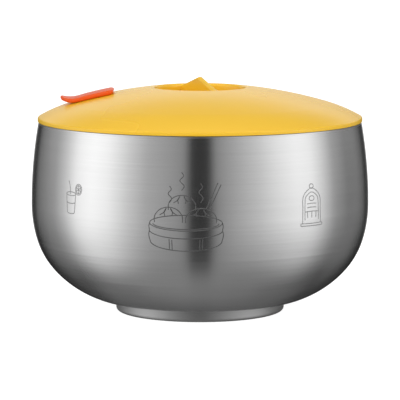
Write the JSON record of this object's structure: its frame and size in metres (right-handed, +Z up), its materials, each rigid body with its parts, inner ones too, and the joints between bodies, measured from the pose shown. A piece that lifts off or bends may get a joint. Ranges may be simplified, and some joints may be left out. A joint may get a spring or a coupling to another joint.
{
  "type": "suction bowl",
  "caption": "Double-wall steel baby bowl with a suction foot and a domed plug-in lid that has a pinch fin in a finger recess and a silicone vent flap shaped as a beak.",
  "frame": {"origin": "centre of the foot ring, on the plane it stands on", "axes": "+Z up; the beak points to -X; the release tab points to +Y, away from the eater"},
  "size_m": [0.13, 0.13, 0.0903],
  "materials": {
    "outer_steel": "brushed round the bowl",
    "inner_steel": "satin",
    "foot_steel": "satin",
    "stud_steel": "turned",
    "cup_silicone": "satin",
    "tab_silicone": "satin",
    "lid_plastic": "soft gloss, moulded",
    "seal_silicone": "satin",
    "beak_root_silicone": "satin",
    "beak_flap_silicone": "satin"
  },
  "bodies": {
    "bowl": {"inner_bowl": "inner_steel", "outer_shell": "outer_steel", "foot_ring": "foot_steel", "cup_stud": "stud_steel"},
    "lid": {"lid_shell": "lid_plastic", "lid_seal": "seal_silicone", "beak_root": "beak_root_silicone"},
    "beak_flap": {"beak_flap": "beak_flap_silicone"},
    "suction_cup": {"suction_cup": "cup_silicone"},
    "release_tab": {"release_tab": "tab_silicone"}
  },
  "joints": [
    {"name": "lid_lift", "type": "slide", "parent": "bowl", "child": "lid", "axis": [0, 0, 1], "range_m": [0, 0.05]},
    {"name": "beak_vent", "type": "hinge", "parent": "lid", "child": "beak_flap", "pos_m": [-0.0395, 0, 0.08484], "axis": [0, 1, 0], "range_deg": [0, 60], "stiffness_Nm_per_rad": 0.001},
    {"name": "cup_pull_off", "type": "slide", "parent": "bowl", "child": "suction_cup", "axis": [0, 0, -1], "range_m": [0, 0.03]},
    {"name": "tab_lift", "type": "hinge", "parent": "suction_cup", "child": "release_tab", "pos_m": [0, 0.02853, 0.0009], "axis": [1, 0, 0], "range_deg": [0, 14], "stiffness_Nm_per_rad": 0.001}
  ]
}
